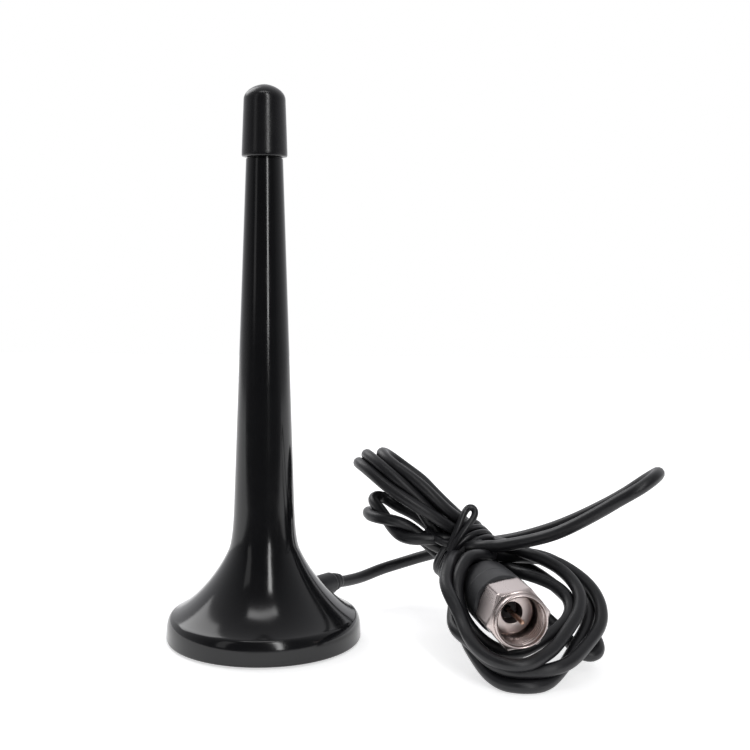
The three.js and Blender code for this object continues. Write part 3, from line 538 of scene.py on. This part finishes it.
def make_materials():
    """Every material of the object, by the name of its slot in the record or its own."""
    near_black = (0.0045, 0.0047, 0.0055)
    return {
        "gloss_black": material("gloss_black", near_black, (0.008, 0.008, 0.009), (0.1, 0.17),
                                grain=(1400, 0.002), edge=0.4),
        "cap_black": material("cap_black", (0.009, 0.009, 0.0105), (0.014, 0.014, 0.015), (0.2, 0.3),
                              grain=(3500, 0.006), edge=0.4),
        "matt_black": material("matt_black", (0.017, 0.0175, 0.020), (0.028, 0.028, 0.031),
                               (0.42, 0.56), grain=(2600, 0.02), edge=0.5),
        "plate_black": material("plate_black", (0.02, 0.02, 0.022), (0.035, 0.035, 0.037), (0.5, 0.7),
                                grain=(1800, 0.04)),
        "cord_black": material("cord_black", (0.0085, 0.0087, 0.0105), (0.014, 0.014, 0.016),
                               (0.34, 0.46), grain=(1500, 0.012), mottle=45),
        "tie_black": material("tie_black", (0.012, 0.012, 0.014), (0.022, 0.022, 0.025), (0.24, 0.36),
                              grain=(2400, 0.02)),
        "pad_black": material("pad_black", (0.022, 0.022, 0.023), (0.04, 0.04, 0.041), (0.7, 0.9),
                              grain=(1500, 0.12)),
        "nickel": material("nickel", (0.6, 0.52, 0.5), (0.7, 0.62, 0.6), (0.24, 0.36), metallic=1,
                           grain=(2200, 0.002), brushed=(1, 0.2, 1)),
        "steel": material("steel", (0.48, 0.49, 0.5), (0.62, 0.62, 0.63), (0.28, 0.42), metallic=1,
                          grain=(2500, 0.008), edge=0.5),
        "brass": material("brass", (0.55, 0.38, 0.15), (0.68, 0.5, 0.24), (0.25, 0.4), metallic=1,
                          grain=(2500, 0.008), edge=0.4),
        "copper": material("copper", (0.52, 0.33, 0.24), (0.66, 0.46, 0.36), (0.22, 0.36), metallic=1,
                           grain=(2500, 0.006)),
        "ferrite": material("ferrite", (0.02, 0.019, 0.019), (0.04, 0.038, 0.036), (0.55, 0.8),
                            grain=(2200, 0.05)),
        "nylon": material("nylon", (0.66, 0.64, 0.58), (0.76, 0.74, 0.68), (0.4, 0.55),
                          grain=(2400, 0.015)),
    }


# ---------------------------------------------------------------- turned shapes


# A point nearer to the axis than this is on it, and a corner more open than this is left alone.
AT_AXIS = 1e-6
NEARLY_STRAIGHT = math.radians(160)


def soft_corner(start, corner, end, steps):
    """A curve from start to end that leans towards the corner."""
    shares = [k / steps for k in range(steps + 1)]
    return [tuple(start.lerp(corner, t).lerp(corner.lerp(end, t), t)) for t in shares]


def rounded(outline, radius):
    """The outline with each corner eased by this radius at the most."""
    points = []
    count = len(outline)
    for i in range(count):
        here = Vector(outline[i])
        before = Vector(outline[i - 1]) - here
        after = Vector(outline[(i + 1) % count]) - here
        bend = before.angle(after, math.pi) if before.length > 0 and after.length > 0 else math.pi
        if bend > NEARLY_STRAIGHT or here.x < AT_AXIS:
            points.append(tuple(here))
            continue
        start = here + before.normalized() * min(radius, before.length * 0.45)
        end = here + after.normalized() * min(radius, after.length * 0.45)
        points += soft_corner(start, here, end, 4)
    return points


def mesh_piece(name, vertices, faces, place, body, look):
    """A smooth-shaded mesh piece, moved to its place."""
    data = bpy.data.meshes.new(name)
    data.from_pydata([tuple(v) for v in vertices], [], faces)
    data.transform(Matrix.Scale(MM, 4))
    data.transform(place)
    data.shade_smooth()
    data.materials.append(look)
    piece = new_object(name, data)
    level = piece.modifiers.new("even_shading", "WEIGHTED_NORMAL")
    level.keep_sharp = True
    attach(piece, body)
    return piece


def turned(name, outline, place, body, look, segments=96, radius_at=None):
    """A closed outline of (radius, height) in millimetres, turned about the axis.

    radius_at(radius, height, angle) may change a point's radius, for a thread or a hexagon.
    """
    vertices = []
    rows = len(outline)
    for k in range(segments):
        angle = 2 * math.pi * k / segments
        for radius, height in outline:
            reach = radius_at(radius, height, angle) if radius_at else radius
            vertices.append((reach * math.cos(angle), reach * math.sin(angle), height))
    faces = []
    for k in range(segments):
        here = k * rows
        there = (k + 1) % segments * rows
        for i in range(rows):
            after = (i + 1) % rows
            if outline[i][0] < AT_AXIS and outline[after][0] < AT_AXIS:
                continue
            faces.append((here + i, there + i, there + after, here + after))
    piece = mesh_piece(name, vertices, faces, place, body, look)
    tidy_mesh(piece)
    return piece


def tidy_mesh(piece):
    """Joins the points that meet on the axis, and turns every face outwards."""
    edit = bmesh.new()
    edit.from_mesh(piece.data)
    bmesh.ops.remove_doubles(edit, verts=edit.verts, dist=1e-7)
    bmesh.ops.dissolve_degenerate(edit, edges=edit.edges, dist=1e-8)
    bmesh.ops.recalc_face_normals(edit, faces=edit.faces)
    edit.to_mesh(piece.data)
    edit.free()
    piece.data.shade_smooth()


def upright():
    return Matrix.Identity(4)


def on_axis(point, direction):
    """A matrix that puts a turned shape's axis on this line."""
    return Matrix.Translation(point) @ direction.to_track_quat("Z", "Y").to_matrix().to_4x4()


# ---------------------------------------------------------------- mast and cap

shell_low, shell_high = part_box("mast_shell")
cap_low, cap_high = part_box("top_cap")
BASE_RADIUS = (shell_high.x - shell_low.x) / 2 / MM
RIM_BOTTOM = shell_low.z / MM
CAP_BOTTOM = cap_low.z / MM
CAP_TOP = cap_high.z / MM
CAP_LIP_RADIUS = (cap_high.x - cap_low.x) / 2 / MM
FLARE_BOTTOM = 5.3
FLARE_TOP = 22.3
FLARE_POWER = 1.4
MAST_FOOT_RADIUS = 6.54
MAST_TOP_RADIUS = 3.78
SHELL_WALL = 1.4
RIM_WALL = 1.6
SPIGOT_RADIUS = 3.35
SPIGOT_TOP = shell_high.z / MM
JOINT_REACH = 6
SHOULDER_DROP = 2.7
CROWN_HEIGHT = 3.1
CROWN_POWER = 1.2


def flare(narrow, wide, bottom, top, turns, stop):
    """A trumpet curve from a narrow top towards a wide bottom, ended at this share of its quarter turn."""
    points = []
    for i in range(turns + 1):
        angle = i / turns * stop * math.pi / 2
        across = max(math.cos(angle), 0) ** (2 / FLARE_POWER)
        down = math.sin(angle) ** (2 / FLARE_POWER)
        points.append((narrow + (wide - narrow) * (1 - across), top - (top - bottom) * down))
    return points


def shoulder(start):
    """The rounded edge from the flare's end down to the rim."""
    start = Vector(start)
    over = Vector((BASE_RADIUS - 0.2, FLARE_BOTTOM + 0.1))
    end = Vector((BASE_RADIUS - 0.1, FLARE_BOTTOM - SHOULDER_DROP))
    return soft_corner(start, over, end, 14)[1:]


def eased_joint(taper, outside):
    """The straight taper and the flare, with a soft curve where one turns into the other."""
    above = [p for p in taper if p[1] > FLARE_TOP + JOINT_REACH]
    below = [p for p in outside if p[1] < FLARE_TOP - JOINT_REACH / 2]
    start = Vector(above[-1])
    end = Vector(below[0])
    fall = start - Vector(above[-2])
    run = Vector(below[1]) - end
    reach = ((end.x - start.x) * run.y - (end.y - start.y) * run.x) / (fall.x * run.y - fall.y * run.x)
    corner = start + fall * reach
    return above + soft_corner(start, corner, end, 16)[1:-1] + below


def make_mast(looks):
    step = CAP_BOTTOM - 0.3
    inner_rim = BASE_RADIUS - RIM_WALL
    outside = flare(MAST_FOOT_RADIUS, BASE_RADIUS, FLARE_BOTTOM, FLARE_TOP, 44, 0.87)
    inside = flare(MAST_FOOT_RADIUS - SHELL_WALL, inner_rim, FLARE_BOTTOM - SHELL_WALL, FLARE_TOP, 20, 1)
    taper = []
    for k in range(1, 24):
        share = k / 24
        radius = MAST_TOP_RADIUS + (MAST_FOOT_RADIUS - MAST_TOP_RADIUS) * share
        taper.append((radius, step - 0.1 + (FLARE_TOP - step) * share))
    rim = [(BASE_RADIUS, RIM_BOTTOM + 0.5), (BASE_RADIUS - 0.14, RIM_BOTTOM + 0.14)]
    rim += [(BASE_RADIUS - 0.5, RIM_BOTTOM), (inner_rim, RIM_BOTTOM)]
    top = [(SPIGOT_RADIUS - 1, SPIGOT_TOP), (SPIGOT_RADIUS, SPIGOT_TOP), (SPIGOT_RADIUS, step)]
    top += [(MAST_TOP_RADIUS - 0.15, step), (MAST_TOP_RADIUS, step - 0.15)]
    outline = top + eased_joint(taper, outside) + shoulder(outside[-1]) + rim + inside[::-1]
    outline.append((MAST_TOP_RADIUS - SHELL_WALL, step))
    mast = turned("mast", outline, upright(), BODY, looks["gloss_black"], 128)
    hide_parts("mast_shell")


def make_cap(looks):
    crown_radius = CAP_LIP_RADIUS - 0.4
    crown = []
    for k in range(13):
        angle = k / 12 * math.pi / 2
        reach = max(math.cos(angle), 0) ** CROWN_POWER
        crown.append((crown_radius * reach, CAP_TOP - CROWN_HEIGHT * (1 - math.sin(angle))))
    crown[-1] = (0, CAP_TOP)
    bore = SPIGOT_RADIUS + 0.3
    side = [(CAP_LIP_RADIUS - 0.3, CAP_BOTTOM), (CAP_LIP_RADIUS - 0.08, CAP_BOTTOM + 0.08)]
    side += [(CAP_LIP_RADIUS, CAP_BOTTOM + 0.35), (CAP_LIP_RADIUS, CAP_BOTTOM + 1)]
    outline = [(0, SPIGOT_TOP + 0.3), (bore, SPIGOT_TOP + 0.3), (bore, CAP_BOTTOM)] + side + crown
    cap = turned("cap", outline, upright(), BODY, looks["cap_black"], 96)
    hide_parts("top_cap")


def make_grommet(looks):
    """The tapered sleeve where the cord leaves the foot."""
    cord = DIAMETER / 2 / MM
    inner = cord + 0.05
    outline = [(inner, -6), (2.4, -6), (2.4, 0.2), (2.1, 0.7), (1.85, 0.8), (1.85, 1.2), (2.0, 1.3)]
    outline += [(1.95, 1.9), (1.6, 2.1), (1.6, 2.5), (1.72, 2.6), (cord + 0.2, 3.3), (inner, 3.4)]
    place = on_axis(GLAND_END, GLAND_DIRECTION)
    grommet = turned("grommet", rounded(outline, 0.12), place, BODY, looks["matt_black"], 48)
    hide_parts("cable_gland")


# ---------------------------------------------------------------- plug

NUT_FLAT = 5.5
NUT_LENGTH = 10.8
NUT_COLLAR_RADIUS = 5.15
NUT_COLLAR = 1.3
THREAD_RADIUS = 4.75
THREAD_DEPTH = 0.32
THREAD_PITCH = 0.8
POST_FACE = -6.6
POST_BORE_RADIUS = 2.1
POST_FLANGE_RADIUS = 4.15
POST_FLANGE_LENGTH = 1.4
POST_SHANK_RADIUS = 3.1
POST_REAR = -20
POST_REAR_BORE = 1.5
PIN_RADIUS = 0.45
PIN_TIP = 0.7
THREAD_START = -0.3
THREAD_END = -5.2
BOOT_FRONT = -11.2
BOOT_REAR = -40
BOOT_RADIUS = 6.0
BARREL_REAR = -26.2
NECK_RADIUS = 4.2
NECK_LENGTH = 1.2
RIB_COUNT = 4
RIB_PITCH = 2.6
RIB_WIDTH = 1.5
RIB_FIRST_RADIUS = 4.8
RIB_TAPER = 0.55
RIB_DEPTH = 0.8


def plug_place():
    return on_axis(PLUG_FRONT, PLUG_DIRECTION)


def nut_corner_angle():
    """Where one corner of the hexagon points, about the plug's axis, from the CAD nut's own points."""
    place = plug_place().inverted()
    points = [place @ v.co for v in frame["nodes"]["coupling_nut"].data.vertices]
    farthest = max(points, key=lambda p: math.hypot(p.x, p.y) if p.z < -2.5 * MM else 0)
    return math.atan2(farthest.y, farthest.x)


def make_nut(looks):
    corner = NUT_FLAT / math.cos(math.radians(30)) - 0.12
    first = nut_corner_angle()

    def radius_at(radius, height, angle):
        if radius > NUT_COLLAR_RADIUS + 0.02:
            turn = (angle - first) % math.radians(60) - math.radians(30)
            return min(radius, NUT_FLAT / math.cos(turn), corner)
        if radius == THREAD_RADIUS and THREAD_END < height < THREAD_START:
            phase = (height / THREAD_PITCH + angle / (2 * math.pi)) % 1
            ridge = 1 - abs(2 * phase - 1)
            fade = min(1, (height - THREAD_END) / 0.6, (THREAD_START - height) / 0.4)
            return radius - THREAD_DEPTH * fade * min(1, ridge * 1.5)
        return radius

    bore = [(THREAD_RADIUS, -0.15 - 0.1 * k) for k in range(66)]
    wide = corner + 0.3
    outline = [(NUT_COLLAR_RADIUS - 0.22, 0.0), (THREAD_RADIUS + 0.12, 0.0)] + bore
    outline += [(THREAD_RADIUS, -9.2), (3.4, -9.3), (3.4, -NUT_LENGTH), (NUT_FLAT - 0.25, -NUT_LENGTH)]
    outline += [(NUT_FLAT - 0.1, -NUT_LENGTH + 0.05), (wide, -NUT_LENGTH + 0.85)]
    outline += [(wide, -2 - k * 0.8) for k in range(9, -1, -1)]
    outline += [(NUT_FLAT + 0.02, -NUT_COLLAR - 0.12), (NUT_FLAT - 0.12, -NUT_COLLAR - 0.02)]
    outline += [(NUT_COLLAR_RADIUS + 0.02, -NUT_COLLAR), (NUT_COLLAR_RADIUS, -NUT_COLLAR + 0.1)]
    outline += [(NUT_COLLAR_RADIUS, -0.25), (NUT_COLLAR_RADIUS - 0.06, -0.07)]
    nut = turned("nut", outline, plug_place(), NUT_BODY, looks["nickel"], 180, radius_at)
    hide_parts("coupling_nut")
    return nut


def make_post(looks):
    """The post inside the nut, with the pin through it."""
    step = POST_FACE - 6
    flange_rear = POST_FACE - POST_FLANGE_LENGTH
    outline = [(POST_BORE_RADIUS, POST_FACE), (POST_FLANGE_RADIUS - 0.15, POST_FACE)]
    outline += [(POST_FLANGE_RADIUS, POST_FACE - 0.2), (POST_FLANGE_RADIUS, flange_rear)]
    outline += [(POST_SHANK_RADIUS, flange_rear), (POST_SHANK_RADIUS, POST_REAR)]
    outline += [(POST_REAR_BORE, POST_REAR), (POST_REAR_BORE, step), (POST_BORE_RADIUS, step)]
    post = turned("post", rounded(outline, 0.14), plug_place(), BODY, looks["nickel"], 96)
    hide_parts("connector_post")
    pin_outline = [(0, POST_REAR + 0.3), (PIN_RADIUS, POST_REAR + 0.3), (PIN_RADIUS, PIN_TIP - 0.6)]
    pin_outline += [(0.38, PIN_TIP - 0.25), (0.2, PIN_TIP - 0.04), (0, PIN_TIP)]
    pin = turned("pin", pin_outline, plug_place(), BODY, looks["copper"], 32)
    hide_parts("centre_pin")
    return [post, pin]


def make_boot(looks):
    """The moulded sleeve: a barrel with one groove, a neck, and ribs that get smaller to the rear."""
    groove = BOOT_FRONT - 6.0
    neck_rear = BARREL_REAR - NECK_LENGTH
    outline = [(3.9, BOOT_FRONT), (5.6, BOOT_FRONT), (BOOT_RADIUS, BOOT_FRONT - 0.5)]
    outline += [(BOOT_RADIUS, groove), (5.93, groove - 0.15), (5.93, groove - 0.45)]
    outline += [(BOOT_RADIUS, groove - 0.6), (5.9, BARREL_REAR + 1.4), (5.5, BARREL_REAR + 0.4)]
    outline += [(5.0, BARREL_REAR), (NECK_RADIUS, BARREL_REAR), (NECK_RADIUS, neck_rear)]
    for k in range(RIB_COUNT):
        front = neck_rear - RIB_PITCH * k
        radius = RIB_FIRST_RADIUS - RIB_TAPER * k
        outline += [(radius, front), (radius - 0.1, front - RIB_WIDTH)]
        outline += [(radius - RIB_DEPTH, front - RIB_WIDTH - 0.1), (radius - RIB_DEPTH, front - RIB_PITCH)]
    outline += [(1.95, BOOT_REAR), (1.36, BOOT_REAR), (1.36, -22), (3.9, -21)]
    place = plug_place()
    boot = turned("boot", rounded(outline, 0.25), place, BODY, looks["matt_black"], 96)
    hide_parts("connector_boot")
    return boot


# ---------------------------------------------------------------- tie


TIE_SAG = 1.2
TURN_STEP = 20
WRAP_RADIUS = 0.72 * MM
LOOSE_TURN_RADIUS = 0.34 * MM
BIGHT_RADIUS = 0.74 * MM
END_RADIUS = 0.85 * MM

# The bight's and the end's places beside the bundle: aside, away and along, in millimetres.
BIGHT = [
    (-3.0, -5.8, 0.2),
    (-0.5, -6.8, -0.2),
    (2.2, -7.4, -1.0),
    (4.8, -7.3, -2.2),
    (6.6, -6.8, -3.0),
    (7.5, -6.1, -2.4),
    (7.0, -5.8, -1.0),
    (5.0, -6.3, -0.2),
    (2.4, -6.9, 0.4),
    (-0.6, -6.9, 0.9),
    (-3.2, -6.0, 1.2),
]
LOOSE_END = [
    (-2.0, -6.2, -0.5),
    (-3.0, -6.6, -2.5),
    (-3.2, -6.4, -5.0),
    (-3.0, -6.2, -6.6),
]


def wire(name, points, radius, looks, cyclic=False):
    """One piece of the tie's wire."""
    return round_curve(name, points, radius, looks["tie_black"], 4, 5, cyclic)


def beside_tie(aside, away, along):
    """A point this far from the tie's middle, in millimetres."""
    return TIE_CENTRE + (TIE_ASIDE * aside + TIE_AWAY * away + TIE_AXIS * along) * MM


def round_tie(angle, along, aside, away):
    """A point on an oval about the bundle, in millimetres."""
    turn = math.radians(angle)
    return beside_tie(math.cos(turn) * aside - TIE_SAG, math.sin(turn) * away, along)


def loose_turn_sway(k):
    """How far along the loose turn lies, as it leans over once round."""
    return 0.6 + 0.9 * math.sin(math.radians(TURN_STEP * k))


def make_tie(looks):
    """Three wraps round the bundle, one looser turn over them, a folded bight and a loose end."""
    turns = [round_tie(TURN_STEP * k, -2.0 + 5.4 * k / 54, 6.9, 6.1) for k in range(-3, 55)]
    wraps = wire("tie_wraps", turns, WRAP_RADIUS, looks)
    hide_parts("twist_tie")
    loose = [round_tie(TURN_STEP * k, loose_turn_sway(k), 7.3, 6.2) for k in range(18)]
    wire("tie_loose_turn", loose, LOOSE_TURN_RADIUS, looks, cyclic=True)
    wire("tie_bight", [beside_tie(*place) for place in BIGHT], BIGHT_RADIUS, looks)
    wire("tie_end", [beside_tie(*place) for place in LOOSE_END], END_RADIUS, looks)


# ---------------------------------------------------------------- carried-over CAD nodes

NODE_LOOKS = {
    "base_insulator": "nylon",
    "rod_socket": "brass",
    "feed_tag": "brass",
    "radiator_rod": "steel",
    "coil_former": "nylon",
    "loading_coil": "copper",
    "rod_bush": "nylon",
    "foot_pad": "pad_black",
    "base_plate": "plate_black",
    "base_screw_1": "steel",
    "base_screw_2": "steel",
    "base_screw_3": "steel",
    "ring_magnet": "ferrite",
    "ground_disc": "steel",
    "ground_lug": "brass",
    "lug_screw": "steel",
    "pull_stop": "brass",
    "coax_jacket": "cord_black",
    "coax_dielectric": "nylon",
    "coax_core": "copper",
    "ground_pigtail": "copper",
    "thrust_washer": "steel",
    # Painted shade: the insulator deep in the bore gets the near-black ferrite look, which stands in for
    # the shade inside the bore.
    "post_insulator": "ferrite",
    "crimp_ferrule": "brass",
    "plug_coax": "cord_black",
}


def dress_nodes(looks):
    """Gives every CAD node that no piece replaces its material."""
    for name, look_name in NODE_LOOKS.items():
        node = frame["nodes"][name]
        look = looks[look_name]
        if not node.data.materials:
            node.data.materials.append(look)
        for slot in node.material_slots:
            slot.material = look


# ---------------------------------------------------------------- floor and light


FLOOR_SIDE = 0.7
FLOOR_FRONT = -0.1
FLOOR_BACK = 0.7

# The studio's grey from the front (0) to the back (1).
STUDIO_GREYS = [(0.0, 0.05), (0.25, 0.09), (0.5, 0.34), (0.72, 0.62), (1.0, 0.95)]


def make_floor():
    """A white floor that ends a little in front of the object, so that the mast doesn't mirror it."""
    left, right = -FLOOR_SIDE, FLOOR_SIDE
    front = [(left, FLOOR_FRONT, 0), (right, FLOOR_FRONT, 0)]
    back = [(right, FLOOR_BACK, 0), (left, FLOOR_BACK, 0)]
    data = bpy.data.meshes.new("floor")
    data.from_pydata(front + back, [], [(0, 1, 2, 3)])
    floor = new_object("floor", data)
    paint = bpy.data.materials.new("floor")
    paint.use_nodes = True
    shader = paint.node_tree.nodes["Principled BSDF"]
    shader.inputs["Base Color"].default_value = (0.9, 0.9, 0.9, 1)
    shader.inputs["Roughness"].default_value = 0.9
    shader.inputs["Specular IOR Level"].default_value = 0
    shader.inputs["Emission Color"].default_value = (1, 1, 1, 1)
    shader.inputs["Emission Strength"].default_value = 0.6
    data.materials.append(paint)


def make_world():
    """White behind everything, and for the light a studio that is dark in front and bright behind."""
    world = bpy.data.worlds.new("studio")
    bpy.context.scene.world = world
    world.use_nodes = True
    tree = world.node_tree
    background = tree.nodes["Background"]
    direction = tree.nodes.new("ShaderNodeTexCoord").outputs["Generated"]
    parts = tree.nodes.new("ShaderNodeSeparateXYZ")
    tree.links.new(direction, parts.inputs["Vector"])
    ramp = tree.nodes.new("ShaderNodeValToRGB")
    elements = ramp.color_ramp.elements
    while len(elements) < len(STUDIO_GREYS):
        elements.new(0.5)
    for element, (place, grey) in zip(elements, STUDIO_GREYS):
        element.position = place
        element.color = (grey, grey, grey * 1.03, 1)
    half = spread_of(tree, parts.outputs["Y"], 0.0, 1.0, -1.0, 1.0)
    tree.links.new(half, ramp.inputs["Fac"])
    ray = tree.nodes.new("ShaderNodeLightPath").outputs["Is Camera Ray"]
    mix = node_at(tree, "ShaderNodeMix")
    mix.data_type = "RGBA"
    mix.inputs["B"].default_value = (1, 1, 1, 1)
    tree.links.new(ray, mix.inputs["Factor"])
    tree.links.new(ramp.outputs["Color"], mix.inputs["A"])
    tree.links.new(mix.outputs["Result"], background.inputs["Color"])
    bpy.context.scene.view_settings.view_transform = "Standard"


def area_light(name, place, target, width, height, radiance):
    """A rectangular light of this brightness, facing its target."""
    data = bpy.data.lights.new(name, "AREA")
    data.shape = "RECTANGLE"
    data.size = width
    data.size_y = height
    data.energy = radiance * math.pi * width * height
    light = new_object(name, data)
    aim = Vector(target) - Vector(place)
    light.matrix_world = Matrix.Translation(place) @ aim.to_track_quat("-Z", "Y").to_matrix().to_4x4()


# Each light's place, what it faces, its width and height in metres and its brightness.
LIGHTS = {
    "strip": ((0.36, -0.85, 0.55), (0, 0, 0.05), 0.12, 1.1, 9),
    "side_strip": ((-0.62, -0.62, 0.45), (0, 0, 0.05), 0.2, 0.8, 0.6),
    "softbox": ((-0.55, 0.55, 0.75), (0.03, 0, 0.02), 0.6, 0.6, 2.4),
    "overhead": ((0.0, -0.3, 1.05), (0.0, 0, 0.02), 0.6, 0.12, 4),
}


def make_lights():
    for name, values in LIGHTS.items():
        area_light(name, *values)


# ---------------------------------------------------------------- the whole

make_camera()
looks = make_materials()
lead, lead_line = make_cord(looks)
make_mast(looks)
make_cap(looks)
make_grommet(looks)
nut = make_nut(looks)
plug = [nut, make_boot(looks)] + make_post(looks)
make_tie(looks)
dress_nodes(looks)
make_floor()
make_world()
make_lights()
